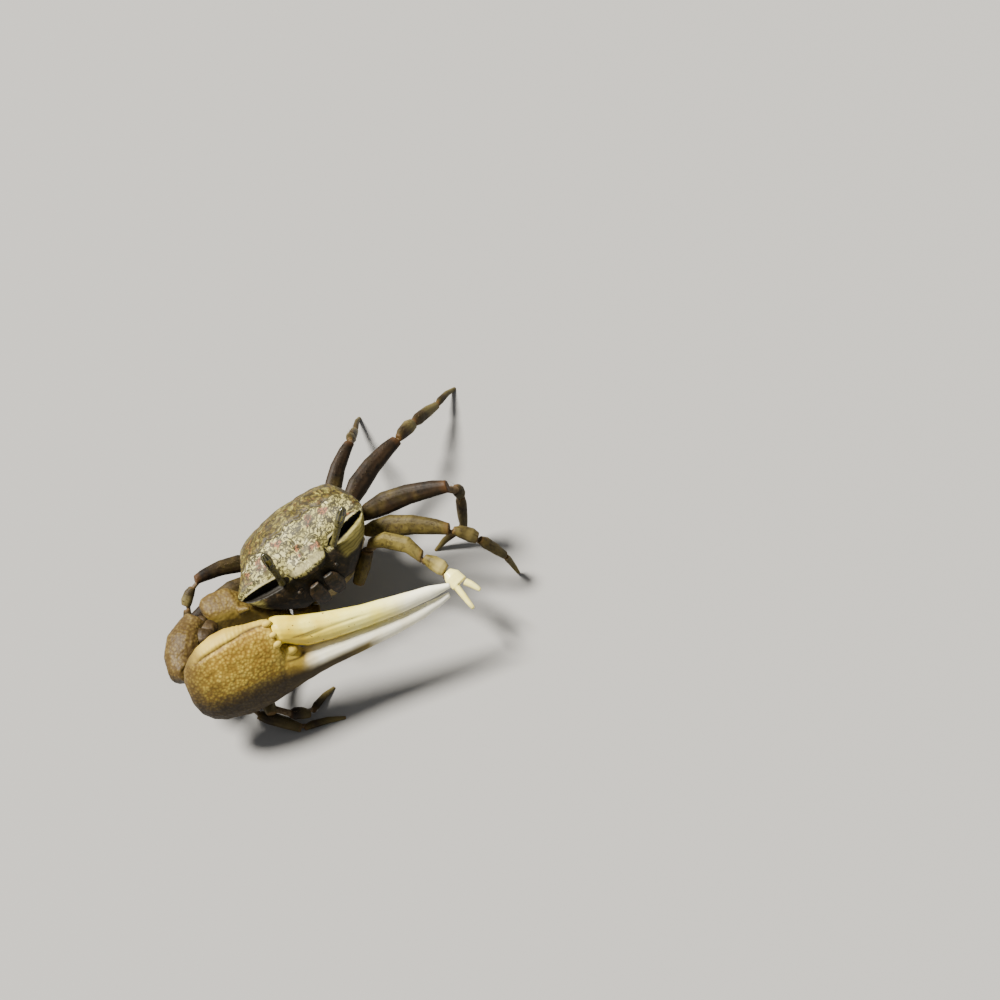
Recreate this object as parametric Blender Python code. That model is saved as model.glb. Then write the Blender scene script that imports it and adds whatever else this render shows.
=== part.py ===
"""Male fiddler crab, life size, standing on eight feet with its right claw folded in front.

Lengths are millimetres until the mesh is written, where MM turns them into metres.
The crab faces -Y and its right side is -X. Shapes of the body are given in the body's
own frame: its origin lies midway between the two front corners of the carapace, which
is then pitched, rolled and lifted over the floor at Z = 0.
"""
import math

import bmesh
import bpy
from mathutils import Matrix, Vector

MM = 0.001
GAP = 0.12                      # left between neighbouring pieces

# Driving sizes of the body
CARAPACE_WIDTH = 20.0           # across the front corners
CARAPACE_LENGTH = 0.62 * CARAPACE_WIDTH
SHIELD_DEPTH = 0.33 * CARAPACE_WIDTH
DOME = 0.145 * CARAPACE_WIDTH   # rise of the back over the line of the corners
FRONT_WIDTH = 0.34 * CARAPACE_WIDTH
EYESTALK_LENGTH = 0.30 * CARAPACE_WIDTH

# How the body is held
CORNER_HEIGHT = 14.5            # of the front corners' line over the floor
BODY_PITCH = 18.5               # degrees, front up
BODY_ROLL = 13.5                # degrees, left side up

BODY = (
    Matrix.Translation((0, 0, CORNER_HEIGHT))
    @ Matrix.Rotation(math.radians(-BODY_ROLL), 4, "Y")
    @ Matrix.Rotation(math.radians(-BODY_PITCH), 4, "X")
)

# The great claw: its length, the line from its heel to its fingertips, and its lean
CLAW_LENGTH = 1.76 * CARAPACE_WIDTH
CLAW_HEEL = Vector((-20.6, -7.0, 11.5))
CLAW_HEADING = -13.4            # degrees from +X, seen from above
CLAW_RISE = 3.2
CLAW_LEAN = 27.0                # its upper edge lies back by this much

# Walking legs, by number: lengths of merus, carpus, propodus and dactyl
LEG_SIZES = {
    2: (11.6, 3.8, 5.2, 5.0),
    3: (13.2, 4.3, 6.7, 5.6),
    4: (12.2, 4.6, 7.0, 6.2),
    5: (9.4, 3.6, 5.2, 5.2),
}
LEG_THICKNESS = {2: 1.0, 3: 1.05, 4: 1.0, 5: 0.82}
LEG_FACE = Vector((0, 0.8, 0.6))    # the limbs' upper edges lean back, broad faces forward
# Where each leg leaves the body, in the body's frame with x counted outwards; the two
# front legs of the right side leave low, under the great claw's arm
LEG_ROOTS = {
    "left": {2: (7.6, 2.3, -5.4), 3: (8.0, 4.9, -5.2), 4: (6.9, 7.5, -5.3), 5: (5.7, 9.9, -5.5)},
    "right": {2: (6.4, 2.6, -8.0), 3: (6.6, 5.2, -7.4), 4: (6.9, 7.5, -5.3), 5: (5.7, 9.9, -5.5)},
}
# Heading and rise, in degrees, of merus, carpus and propodus, and the dactyl's heading;
# the dactyl's rise follows from its length, because its tip stands on the floor.
LEG_POSES = {
    "left": {
        2: ((-37, 4), (-41, -27), (-37, -55), -12),
        3: ((-26, 18), (22, -67), (-155, -80), 164),
        4: ((25, 3), (35, -27), (34, -34), 39),
        5: ((43, 12), (66, -47), (64, -46), 62),
    },
    "right": {
        2: ((-133, -1), (-107, -15), (-18, -28), 26),
        3: ((-140, -1), (-101, -22), (-45, -19), -17),
        4: ((-172, 2), (-120, -8), (-50, -36), -30),
        5: ((174, 18), (-150, -30), (-110, -38), -30),
    },
}

PIECES = bpy.data.collections.new("fiddler_crab")
CUTTERS = bpy.data.collections.new("cutters")


# ---------------------------------------------------------------- helpers

def clear_scene():
    for old in list(bpy.data.objects):
        bpy.data.objects.remove(old)
    bpy.context.scene.collection.children.link(PIECES)
    bpy.context.scene.collection.children.link(CUTTERS)


def shell_material(name, color, roughness):
    mat = bpy.data.materials.new(name)
    mat.use_nodes = True
    shader = mat.node_tree.nodes["Principled BSDF"]
    shader.inputs["Base Color"].default_value = (*color, 1.0)
    shader.inputs["Roughness"].default_value = roughness
    shader.inputs["Metallic"].default_value = 0.0
    return mat


def direction(heading, rise):
    """Unit vector from a compass heading and a rise, both in degrees."""
    h, r = math.radians(heading), math.radians(rise)
    return Vector((math.cos(h) * math.cos(r), math.sin(h) * math.cos(r), math.sin(r)))


def body_point(x, y, z):
    return BODY @ Vector((x, y, z))


def power(value, exponent):
    return math.copysign(abs(value) ** exponent, value)


def oval(center, across, upward, half_width, half_height, count, square=2.0, keel=0.0):
    """Ring of points: a superellipse, with keel narrowing its lower half."""
    points = []
    for i in range(count):
        angle = 2 * math.pi * (i + 0.5) / count
        x = power(math.cos(angle), 2 / square)
        z = power(math.sin(angle), 2 / square)
        narrow = 1 - keel * max(0.0, -z)
        points.append(center + across * (half_width * x * narrow) + upward * (half_height * z))
    return points


def make_piece(name, bm, mat):
    """Turns a bmesh in millimetres into an object in metres."""
    bmesh.ops.recalc_face_normals(bm, faces=bm.faces)
    bmesh.ops.scale(bm, vec=(MM, MM, MM), verts=bm.verts)
    mesh = bpy.data.meshes.new(name)
    bm.to_mesh(mesh)
    bm.free()
    mesh.materials.append(mat)
    mesh.shade_smooth()
    mesh.set_sharp_from_angle(angle=math.radians(50))
    piece = bpy.data.objects.new(name, mesh)
    PIECES.objects.link(piece)
    return piece


def loft(rings, start_tip=None, end_tip=None):
    """Closed skin through rings of equal count; an end is a flat cap or runs to a tip."""
    bm = bmesh.new()
    loops = [[bm.verts.new(p) for p in ring] for ring in rings]
    count = len(rings[0])
    for low, high in zip(loops, loops[1:]):
        for i in range(count):
            j = (i + 1) % count
            bm.faces.new((low[i], low[j], high[j], high[i]))
    for loop, tip in ((loops[0], start_tip), (loops[-1], end_tip)):
        if tip is None:
            bm.faces.new(loop)
            continue
        point = bm.verts.new(tip)
        for i in range(count):
            bm.faces.new((loop[i], loop[(i + 1) % count], point))
    return bm


def tube(centers, radii, count):
    """Loft of round rings, each square to the middle line."""
    rings = []
    for i, (center, radius) in enumerate(zip(centers, radii)):
        before, after = centers[max(i - 1, 0)], centers[min(i + 1, len(centers) - 1)]
        across, upward = frame_along((after - before).normalized())
        rings.append(oval(center, across, upward, radius, radius, count, 2.2))
    return loft(rings)


def frame_along(forward, lean_up=Vector((0, 0, 1))):
    """Sideways and upward unit vectors square to a direction."""
    across = forward.cross(lean_up).normalized()
    return across, across.cross(forward).normalized()


def article(start, end, profile, up, count=8, bow=0.0, square=2.2):
    """One piece of a limb. The profile lists (place 0..1, half width, half height);
    bow lifts the middle by that many millimetres."""
    along = end - start
    across, upward = frame_along(along.normalized(), up)
    rings = []
    for place, width, height in profile:
        lift = 4 * bow * place * (1 - place)
        center = start + along * place + upward * lift
        rings.append(oval(center, across, upward, width, height, count, square))
    return loft(rings)


def next_start(joint, before, after, start_radius):
    """Where an article starts so that it clears the flat end of the one before it."""
    cosine = max(before.dot(after), 0.25)
    sine = math.sqrt(1 - cosine * cosine)
    return joint + after * ((GAP + start_radius * sine) / cosine)


def stand_on_floor(bm):
    """Cuts a limb's tip to a small flat at Z = 0."""
    geometry = bm.verts[:] + bm.edges[:] + bm.faces[:]
    cut = bmesh.ops.bisect_plane(
        bm, geom=geometry, plane_co=(0, 0, 0), plane_no=(0, 0, -1), clear_outer=True)
    edges = [item for item in cut["geom_cut"] if isinstance(item, bmesh.types.BMEdge)]
    bmesh.ops.holes_fill(bm, edges=edges, sides=0)


def apply_boolean(piece, cutter, operation):
    """Joins or cuts a piece by a cutter and keeps only the result."""
    step = piece.modifiers.new(operation.lower(), "BOOLEAN")
    step.operation = operation
    step.object = cutter
    step.solver = "EXACT"
    result = bpy.data.meshes.new_from_object(
        piece.evaluated_get(bpy.context.evaluated_depsgraph_get()))
    piece.modifiers.remove(step)
    piece.data = result
    cutter.hide_render = True
    cutter.display_type = "WIRE"
    PIECES.objects.unlink(cutter)
    CUTTERS.objects.link(cutter)


def in_body_frame(rings):
    return [[BODY @ point for point in ring] for ring in rings]


# ---------------------------------------------------------------- body

def shield_ring(y, half_width, edge, top, bottom, floor_width, drift):
    """Cross-section of the carapace at one y: an arched back, side walls that bulge and
    then slope in to the flat underside. Drift moves the upper part to the left."""
    arch, wall, floor = 8, 3, 2
    points = []
    for i in range(arch + 1):
        angle = math.pi * i / arch
        x = drift + half_width * math.cos(angle)
        z = edge + (top - edge) * power(math.sin(angle), 0.9)
        points.append(Vector((x, y, z)))
    for side in (-1, 1):
        span = range(1, wall + 1) if side < 0 else range(wall, 0, -1)
        for i in span:
            t = i / wall
            x = half_width + (floor_width - half_width) * t ** 1.6
            points.append(Vector((side * x + drift * (1 - t), y, edge + (bottom - edge) * t)))
        if side < 0:
            for i in range(1, floor + 1):
                x = floor_width * (2 * i / (floor + 1) - 1)
                points.append(Vector((x, y, bottom)))
    return points


def carapace(mat):
    """Upper shell with its deflexed front lobe and two long orbits."""
    half = CARAPACE_WIDTH / 2
    depth = SHIELD_DEPTH
    # y as a share of the length, half width, edge, top, underside, its half width, and
    # drift: a male's back is fuller on the side of the small claw
    stations = (
        (-0.195, 0.46 * half, -0.55 * depth, -0.36 * depth, -0.88 * depth, 0.28 * half, 0.0),
        (-0.165, 0.68 * half, -0.40 * depth, -0.24 * depth, -0.96 * depth, 0.38 * half, 0.0),
        (-0.115, 0.84 * half, -0.24 * depth, -0.07 * depth, -depth, 0.41 * half, 0.0),
        (-0.060, 0.94 * half, -0.09 * depth, 0.20 * DOME, -depth, 0.42 * half, 0.0),
        (0.000, half, 0.0, 0.42 * DOME, -depth, 0.42 * half, 0.0),
        (0.090, 0.960 * half, 0.02 * depth, 0.70 * DOME, -depth, 0.42 * half, 0.30),
        (0.240, 0.890 * half, -0.02 * depth, 0.93 * DOME, -depth, 0.42 * half, 0.65),
        (0.410, 0.830 * half, -0.08 * depth, DOME, -depth, 0.41 * half, 0.75),
        (0.590, 0.775 * half, -0.15 * depth, 0.62 * DOME, -0.98 * depth, 0.40 * half, 0.65),
        (0.750, 0.695 * half, -0.24 * depth, 0.03 * depth, -0.95 * depth, 0.37 * half, 0.45),
        (0.870, 0.590 * half, -0.35 * depth, -0.18 * depth, -0.88 * depth, 0.33 * half, 0.30),
        (0.935, 0.450 * half, -0.46 * depth, -0.36 * depth, -0.80 * depth, 0.28 * half, 0.20),
    )
    rings = [shield_ring(share * CARAPACE_LENGTH, *sizes) for share, *sizes in stations]
    shell = make_piece("carapace", loft(in_body_frame(rings)), mat)
    apply_boolean(shell, front_lobe(mat), "UNION")
    for side in (-1, 1):
        apply_boolean(shell, orbit_cutter(side, mat), "DIFFERENCE")
    return shell


def front_lobe(mat):
    """The front: a tongue between the eyes that bends down over the face."""
    half = FRONT_WIDTH / 2
    # y, z of the tongue's middle, half width, half thickness
    path = (
        (1.2, 0.30, 1.00 * half, 0.75),
        (-0.4, 0.05, 0.98 * half, 0.72),
        (-1.5, -0.45, 0.90 * half, 0.62),
        (-2.2, -1.25, 0.74 * half, 0.50),
        (-2.45, -2.05, 0.46 * half, 0.36),
    )
    rings = []
    for i, (y, z, width, thick) in enumerate(path):
        before, after = path[max(i - 1, 0)], path[min(i + 1, len(path) - 1)]
        run = Vector((0, after[0] - before[0], after[1] - before[1])).normalized()
        normal = run.cross(Vector((1, 0, 0)))
        center = Vector((0, y, z))
        rings.append(oval(center, Vector((1, 0, 0)), normal, width, thick, 12, 2.6))
    return make_piece("front_lobe_tool", loft(in_body_frame(rings)), mat)


def orbit_cutter(side, mat):
    """Long hollow from the eye's root to the corner of the carapace."""
    inner = Vector((side * (FRONT_WIDTH / 2 + 0.25), -1.8, -0.95))
    outer = Vector((side * (CARAPACE_WIDTH / 2 - 0.6), -0.60, -0.45))
    along = (outer - inner).normalized()
    across, upward = frame_along(along)
    rings = []
    for place, radius in ((0.0, 0.60), (0.12, 1.10), (0.5, 1.15), (0.85, 0.80), (1.0, 0.35)):
        center = inner.lerp(outer, place)
        rings.append(oval(center, across, upward, radius * 1.2, radius * 0.6, 10))
    return make_piece("orbit_tool", loft(in_body_frame(rings)), mat)


def sternum(mat):
    """Underside of the thorax with a short hip for every leg and claw."""
    top = -SHIELD_DEPTH - GAP
    # y, half width, depth below the shell
    stations = ((-0.9, 2.6, 1.6), (0.4, 4.2, 2.5), (3.0, 4.9, 3.0), (6.0, 4.8, 2.8),
                (8.6, 4.1, 2.3), (10.0, 3.0, 1.6), (11.0, 2.0, 0.8))
    rings = []
    for y, width, depth in stations:
        center = Vector((0, y, top - depth / 2))
        rings.append(oval(center, Vector((1, 0, 0)), Vector((0, 0, 1)), width, depth / 2,
                          12, 2.8, 0.18))
    plate = make_piece("sternum", loft(in_body_frame(rings)), mat)
    for side in (-1, 1):
        for number in LEG_SIZES:
            apply_boolean(plate, hip(side, number, mat), "UNION")
    return plate


def leg_root(side, number):
    x, y, z = LEG_ROOTS["left" if side > 0 else "right"][number]
    return Vector((side * x, y, z))


def hip(side, number, mat):
    outer = leg_root(side, number)
    inner = Vector((side * 3.2, 0.92 * outer.y, -8.5))
    across, upward = frame_along((outer - inner).normalized())
    size = 1.0 * LEG_THICKNESS[number]
    rings = [
        oval(inner.lerp(outer, place), across, upward, size * grow, 0.85 * size * grow, 8)
        for place, grow in ((0, 0.9), (0.5, 1.0), (0.85, 0.85))
    ]
    return make_piece("hip_tool", loft(in_body_frame(rings)), mat)


def abdomen(mat):
    """Narrow tail of a male: over the rear edge, then folded flat under the sternum."""
    # y, z and half width along the tail in the body's frame
    path = ((12.2, -3.0, 2.4), (12.3, -4.6, 2.5), (12.1, -6.2, 2.4), (11.5, -7.7, 2.2),
            (10.3, -8.95, 2.1), (8.5, -9.75, 2.0), (6.0, -10.2, 1.8), (3.2, -10.4, 1.4),
            (1.6, -10.15, 0.9))
    thick = 0.42
    rings = []
    for i, (y, z, width) in enumerate(path):
        before, after = path[max(i - 1, 0)], path[min(i + 1, len(path) - 1)]
        run = Vector((0, after[0] - before[0], after[1] - before[1])).normalized()
        normal = run.cross(Vector((1, 0, 0)))
        rings.append(oval(Vector((0, y, z)), Vector((1, 0, 0)), normal, width, thick, 8, 3.0))
    return make_piece("abdomen", loft(in_body_frame(rings)), mat)


def mouthpart(side, mat):
    """Third maxilliped: one of the two doors that close the mouth."""
    # z, y, middle x, half width, half thickness
    path = ((-3.3, -2.95, 1.10, 0.70, 0.30), (-4.2, -3.00, 1.25, 1.05, 0.40),
            (-5.4, -3.00, 1.30, 1.15, 0.42), (-6.4, -2.85, 1.25, 0.95, 0.38),
            (-7.0, -2.70, 1.10, 0.60, 0.30))
    rings = [
        oval(Vector((side * x, y, z)), Vector((1, 0, 0)), Vector((0, 1, 0)),
             width, thick, 8, 2.6)
        for z, y, x, width, thick in path
    ]
    name = "maxilliped_" + ("left" if side > 0 else "right")
    return make_piece(name, loft(in_body_frame(rings)), mat)


def eye_root(side):
    return body_point(side * (FRONT_WIDTH / 2 + 0.65), -1.95, -0.85)


def eyestalk_line(side):
    """Root and direction of an eyestalk; both are held up, the left one leans out."""
    aim = direction(16, 58) if side > 0 else direction(111, 72)
    return eye_root(side), aim


def eyestalk(side, mat):
    root, aim = eyestalk_line(side)
    length = 0.58 * EYESTALK_LENGTH
    profile = ((0.0, 0.52, 0.52), (0.25, 0.42, 0.42), (0.8, 0.45, 0.45), (1.0, 0.52, 0.52))
    name = "eyestalk_" + ("left" if side > 0 else "right")
    tip = root + aim * length
    return make_piece(name, article(root, tip, profile, Vector((0, 1, 0)), 8), mat)


def eye(side, mat):
    """Long faceted cap of the stalk, a little wider than it."""
    root, aim = eyestalk_line(side)
    start = root + aim * (0.58 * EYESTALK_LENGTH + GAP)
    end = root + aim * EYESTALK_LENGTH
    profile = ((0.0, 0.54, 0.54), (0.22, 0.64, 0.64), (0.62, 0.65, 0.65),
               (0.86, 0.50, 0.50), (1.0, 0.22, 0.22))
    name = "eye_" + ("left" if side > 0 else "right")
    return make_piece(name, article(start, end, profile, Vector((0, 1, 0)), 10), mat)


def antenna(side, mat):
    """Short feeler beside the eye's root."""
    start = body_point(side * 2.7, -2.85, -2.9)
    end = body_point(side * 3.0, -4.2, -1.9)
    profile = ((0.0, 0.30, 0.30), (0.5, 0.27, 0.27), (1.0, 0.25, 0.25))
    name = "antenna_" + ("left" if side > 0 else "right")
    return make_piece(name, article(start, end, profile, Vector((1, 0, 0)), 6), mat)


# ---------------------------------------------------------------- walking legs

def leg(side_name, number, mats):
    """Four articles from the hip to the floor, each a node of its own."""
    side = 1 if side_name == "left" else -1
    size = LEG_THICKNESS[number]
    merus_pose, carpus_pose, propodus_pose, dactyl_heading = LEG_POSES[side_name][number]
    lengths = LEG_SIZES[number]
    joint = body_point(*leg_root(side, number))
    up = LEG_FACE
    label = f"leg{number}_{side_name}_"

    shapes = (
        ("merus", ((0, 0.58, 0.70), (0.10, 0.80, 1.12), (0.30, 0.92, 1.46),
                   (0.58, 0.88, 1.28), (0.86, 0.78, 1.02), (1, 0.62, 0.78)), 12, 0.7),
        ("carpus", ((0, 0.44, 0.52), (0.3, 0.68, 0.84), (0.75, 0.78, 0.98),
                    (1, 0.60, 0.76)), 10, 0.15),
        ("propodus", ((0, 0.44, 0.52), (0.22, 0.62, 0.84), (0.65, 0.58, 0.78),
                      (1, 0.46, 0.54)), 10, 0.10),
    )
    before, aim, clear = None, None, 0.0
    for (name, profile, count, bow), pose, length in zip(
            shapes, (merus_pose, carpus_pose, propodus_pose), lengths):
        profile = tuple((t, w * size, h * size) for t, w, h in profile)
        before, aim = aim, direction(*pose)
        start = joint + aim * 2.5 * GAP
        if before is not None:
            start = next_start(joint, before, aim, profile[0][2])
        joint = joint + aim * length
        bm = article(start, joint, profile, up, count, bow)
        make_piece(label + name, bm, mats[name])

    radius = 0.36 * size
    before = aim
    drop = min(joint.z / lengths[3], 0.98)
    aim = direction(dactyl_heading, -math.degrees(math.asin(drop)))
    start = next_start(joint, before, aim, radius)
    tip = joint + aim * (lengths[3] + 0.25)
    profile = ((0, radius, radius), (0.2, 0.46 * size, 0.52 * size),
               (0.6, 0.36 * size, 0.42 * size), (1, 0.25, 0.25))
    bm = article(start, tip, profile, up, 10, 0.25)
    stand_on_floor(bm)
    make_piece(label + "dactyl", bm, mats["dactyl"])


# ---------------------------------------------------------------- great claw

def claw_frame():
    """Axes of the great claw: along the fingers, up its height, out of its broad face."""
    along = direction(CLAW_HEADING, CLAW_RISE)
    side, upright = frame_along(along)
    lean = math.radians(CLAW_LEAN)
    upward = (upright * math.cos(lean) - side * math.sin(lean)).normalized()
    outward = along.cross(upward)
    if outward.y > 0:
        outward = -outward
    return along, upward, outward


def claw_point(s, p, n=0.0):
    along, upward, outward = claw_frame()
    return CLAW_HEEL + along * s + upward * p + outward * n


def claw_rings(stations, count, square=2.3):
    """Rings from (s, low edge, high edge, half thickness, offset out of the face)."""
    _, upward, outward = claw_frame()
    rings = []
    for s, low, high, thick, out in stations:
        center = claw_point(s, (low + high) / 2, out)
        rings.append(oval(center, outward, upward, thick, (high - low) / 2, count, square))
    return rings


def major_palm(mat):
    """Manus and fixed finger of the great claw."""
    stations = (
        (-0.45, -2.8, 0.9, 0.9, 0.0),
        (0.1, -4.5, 2.3, 1.6, 0.1),
        (1.3, -5.6, 3.75, 2.2, 0.2),
        (2.6, -6.2, 4.75, 2.5, 0.25),
        (4.7, -6.55, 5.65, 2.7, 0.3),
        (6.8, -6.6, 5.9, 2.75, 0.3),
        (9.4, -6.3, 5.4, 2.6, 0.25),
        (11.5, -5.85, 5.2, 2.3, 0.15),
        (12.3, -5.65, 4.9, 2.05, 0.1),
    )
    palm = make_piece("major_palm", loft(claw_rings(stations, 20, 2.25)), mat)
    apply_boolean(palm, fixed_finger(mat), "UNION")
    return palm


def fixed_finger(mat):
    """Lower finger: a lobe beside the hinge, a notch, then a blade curving up to a point."""
    stations = (
        (8.6, -5.1, 0.0, 1.10, 0.2),
        (10.5, -5.75, 0.9, 1.90, 0.2),
        (12.3, -5.55, 1.15, 2.15, 0.15),
        (13.2, -5.3, 1.0, 2.05, 0.15),
        (14.2, -5.05, 0.0, 1.95, 0.1),
        (14.8, -4.95, -0.9, 1.85, 0.1),
        (16.0, -4.7, -0.85, 1.75, 0.05),
        (18.0, -4.45, -0.95, 1.58, 0.05),
        (22.0, -4.1, -1.25, 1.35, 0.0),
        (26.5, -3.6, -1.4, 1.10, 0.0),
        (30.5, -2.9, -1.25, 0.85, 0.0),
        (33.4, -2.0, -0.95, 0.55, 0.0),
        (34.6, -1.5, -0.75, 0.30, 0.0),
    )
    return make_piece("finger_tool", loft(claw_rings(stations, 16)), mat)


def major_dactyl(mat):
    """Movable upper finger, hinged on the palm's end and nearly closed."""
    stations = (
        (12.3 + GAP, 1.35, 4.85, 1.60, 0.1),
        (13.3, 1.25, 4.75, 1.85, 0.1),
        (14.6, 0.35, 4.30, 1.80, 0.1),
        (15.8, -0.35, 3.80, 1.72, 0.1),
        (18.6, -0.75, 2.95, 1.55, 0.0),
        (23.6, -0.98, 1.95, 1.28, 0.0),
        (28.9, -0.93, 1.40, 1.00, 0.0),
        (32.6, -0.62, 1.05, 0.70, 0.0),
        (CLAW_LENGTH - 0.1, -0.15, 0.45, 0.30, 0.0),
    )
    return make_piece("major_dactyl", loft(claw_rings(stations, 16)), mat)


def major_carpus(mat):
    """Rounded wrist behind the claw's heel, reaching back to the arm."""
    # s, p, n of the middle line in the claw's frame, and radius
    path = ((0.1, 0.6, -2.2, 1.1), (-0.47, 0.2, -3.5, 1.9), (-0.06, 0.8, -5.3, 2.45),
            (0.9, 1.9, -7.0, 2.5), (2.15, 2.6, -8.6, 1.9), (3.05, 3.0, -9.35, 1.65))
    centers = [claw_point(s, p, n) for s, p, n, _ in path]
    radii = [radius for _, _, _, radius in path]
    return make_piece("major_carpus", tube(centers, radii, 16), mat)


def major_merus(mat):
    """Arm of the great claw: a broad flat top with a ridge along its front edge that
    ends in a tooth beside the body."""
    lean = Vector((0, 0.3, 0.95)).normalized()
    # x, y and z of the middle line, half depth from front to back, half height
    stations = (
        (-4.9, -2.5, 6.9, 0.95, 0.90),
        (-6.8, -1.3, 7.7, 1.60, 1.35),
        (-8.5, 0.3, 8.4, 1.90, 1.65),
        (-10.0, 1.2, 9.0, 2.25, 2.10),
        (-12.3, 1.7, 9.1, 2.15, 2.10),
        (-13.5, 1.9, 9.2, 1.85, 1.90),
        (-14.1, 1.9, 9.3, 1.30, 1.40),
    )
    rings = [
        oval(Vector((x, y, z)), Vector((0, 1, 0)), lean, depth, height, 16, 3.2)
        for x, y, z, depth, height in stations
    ]
    arm = make_piece("major_merus", loft(rings), mat)
    root, tip = Vector((-10.1, -0.3, 10.2)), Vector((-8.9, -1.1, 10.7))
    tooth = article(root, tip, ((0, 0.55, 0.55), (1, 0.25, 0.25)), Vector((0, 0, 1)))
    apply_boolean(arm, make_piece("tooth_tool", tooth, mat), "UNION")
    return arm


def claw_hip(side, mat, size):
    """Coxa, basis and ischium of a claw, from the breast plate to the arm."""
    name = ("major" if side < 0 else "minor") + "_ischium"
    start = body_point(side * 3.1, -1.4, -8.9)
    end = Vector((-4.2, -2.7, 6.6)) if side < 0 else body_point(6.8, -1.0, -5.8)
    profile = ((0, 0.8 * size, 0.8 * size), (0.5, size, 1.05 * size), (1, 0.8 * size, size))
    return make_piece(name, article(start, end, profile, Vector((0, 0, 1)), 8), mat)


# ---------------------------------------------------------------- small claw

def minor_claw(mats):
    """Left claw: slender arm, wrist, palm with its fixed finger, and upper finger."""
    up = LEG_FACE
    root = body_point(7.4, -0.7, -5.2)
    elbow = Vector((13.1, -7.7, 10.9))
    wrist = Vector((14.7, -10.7, 10.0))
    merus = ((0, 0.60, 0.70), (0.25, 0.85, 1.10), (0.7, 0.88, 1.10), (1, 0.66, 0.86))
    make_piece("minor_merus", article(root, elbow, merus, up, 10, 1.3), mats["merus"])

    before, aim = (elbow - root).normalized(), (wrist - elbow).normalized()
    carpus = ((0, 0.50, 0.62), (0.4, 0.82, 1.00), (0.8, 0.88, 1.04), (1, 0.66, 0.80))
    start = next_start(elbow, before, aim, 0.6)
    make_piece("minor_carpus", article(start, wrist, carpus, up, 10, 0.1), mats["carpus"])

    tip_high = Vector((17.1, -15.1, 8.8))
    tip_low = Vector((15.1, -16.6, 8.3))
    knuckle = wrist.lerp((tip_high + tip_low) / 2, 0.45)
    aim_palm = (knuckle - wrist).normalized()
    start = next_start(wrist, aim, aim_palm, 0.6)
    sideways = (tip_high - tip_low).normalized()
    palm = ((0, 0.62, 0.45), (0.4, 1.15, 0.68), (1, 1.20, 0.60))
    body = article(start, knuckle, palm, aim_palm.cross(sideways), 12)
    hand = make_piece("minor_palm", body, mats["palm"])
    finger = ((0, 0.44, 0.50), (0.4, 0.40, 0.45), (0.85, 0.32, 0.32), (1, 0.25, 0.25))
    low_root = knuckle - sideways * 0.62 - aim_palm * 0.4
    fixed = make_piece("minor_finger_tool",
                       article(low_root, tip_low, finger, up, 8, 0.0), mats["palm"])
    apply_boolean(hand, fixed, "UNION")
    high_root = knuckle + sideways * 0.72 + aim_palm * 5 * GAP
    make_piece("minor_dactyl", article(high_root, tip_high, finger, up, 8, 0.1),
               mats["dactyl"])


# ---------------------------------------------------------------- the whole crab

def center_over_origin():
    """Moves every piece so that the middle of their common box stands over the origin."""
    bpy.context.view_layer.update()
    corners = [
        piece.matrix_world @ Vector(corner)
        for piece in PIECES.objects for corner in piece.bound_box
    ]
    shift = Vector((
        -(min(c.x for c in corners) + max(c.x for c in corners)) / 2,
        -(min(c.y for c in corners) + max(c.y for c in corners)) / 2,
        0.0,
    ))
    for piece in PIECES.objects:
        piece.data.transform(Matrix.Translation(shift))


def main():
    clear_scene()
    back = shell_material("carapace_shell", (0.52, 0.50, 0.36), 0.5)
    under = shell_material("underside_shell", (0.42, 0.36, 0.22), 0.5)
    tan = shell_material("claw_shell", (0.60, 0.44, 0.18), 0.5)
    ivory = shell_material("finger_shell", (0.86, 0.82, 0.66), 0.35)
    brown = shell_material("leg_shell", (0.30, 0.22, 0.11), 0.55)
    stalk = shell_material("eyestalk_skin", (0.16, 0.17, 0.08), 0.4)
    cornea = shell_material("eye_surface", (0.06, 0.07, 0.04), 0.2)

    carapace(back)
    sternum(under)
    abdomen(under)
    for side in (-1, 1):
        mouthpart(side, under)
        eyestalk(side, stalk)
        eye(side, cornea)
        antenna(side, under)
    leg_mats = {"merus": brown, "carpus": brown, "propodus": brown, "dactyl": brown}
    for side_name in LEG_POSES:
        for number in LEG_SIZES:
            leg(side_name, number, leg_mats)
    claw_hip(-1, tan, 1.25)
    major_merus(tan)
    major_carpus(tan)
    major_palm(tan)
    major_dactyl(ivory)
    claw_hip(1, under, 0.95)
    minor_claw({"merus": brown, "carpus": brown, "palm": ivory, "dactyl": ivory})
    center_over_origin()


main()
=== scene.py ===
"""Looks of the male fiddler crab: shell surfaces, joints, hairs, studio and camera.

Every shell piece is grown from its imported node: the node's solid is remeshed finely,
smoothed, given its relief and painted with zones that its material reads. Lengths are
millimetres until a mesh is written; MM turns them into metres.
"""
import math
import random

import bmesh
import bpy
import numpy as np
from mathutils import Matrix, Vector


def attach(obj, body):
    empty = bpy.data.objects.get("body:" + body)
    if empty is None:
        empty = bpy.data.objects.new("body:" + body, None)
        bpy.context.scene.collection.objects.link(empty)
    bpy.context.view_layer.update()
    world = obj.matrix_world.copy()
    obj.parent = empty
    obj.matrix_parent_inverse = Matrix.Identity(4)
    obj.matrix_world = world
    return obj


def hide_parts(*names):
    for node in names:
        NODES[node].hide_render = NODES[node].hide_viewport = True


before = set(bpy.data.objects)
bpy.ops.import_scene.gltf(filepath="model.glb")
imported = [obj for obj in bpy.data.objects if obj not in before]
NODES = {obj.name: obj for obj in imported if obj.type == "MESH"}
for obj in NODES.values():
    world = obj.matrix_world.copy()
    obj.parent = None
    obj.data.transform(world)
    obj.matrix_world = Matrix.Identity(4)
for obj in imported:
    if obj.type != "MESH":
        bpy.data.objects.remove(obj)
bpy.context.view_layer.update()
SURFACES = {}                   # node name to the fine piece grown from it
MM = 0.001

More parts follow.
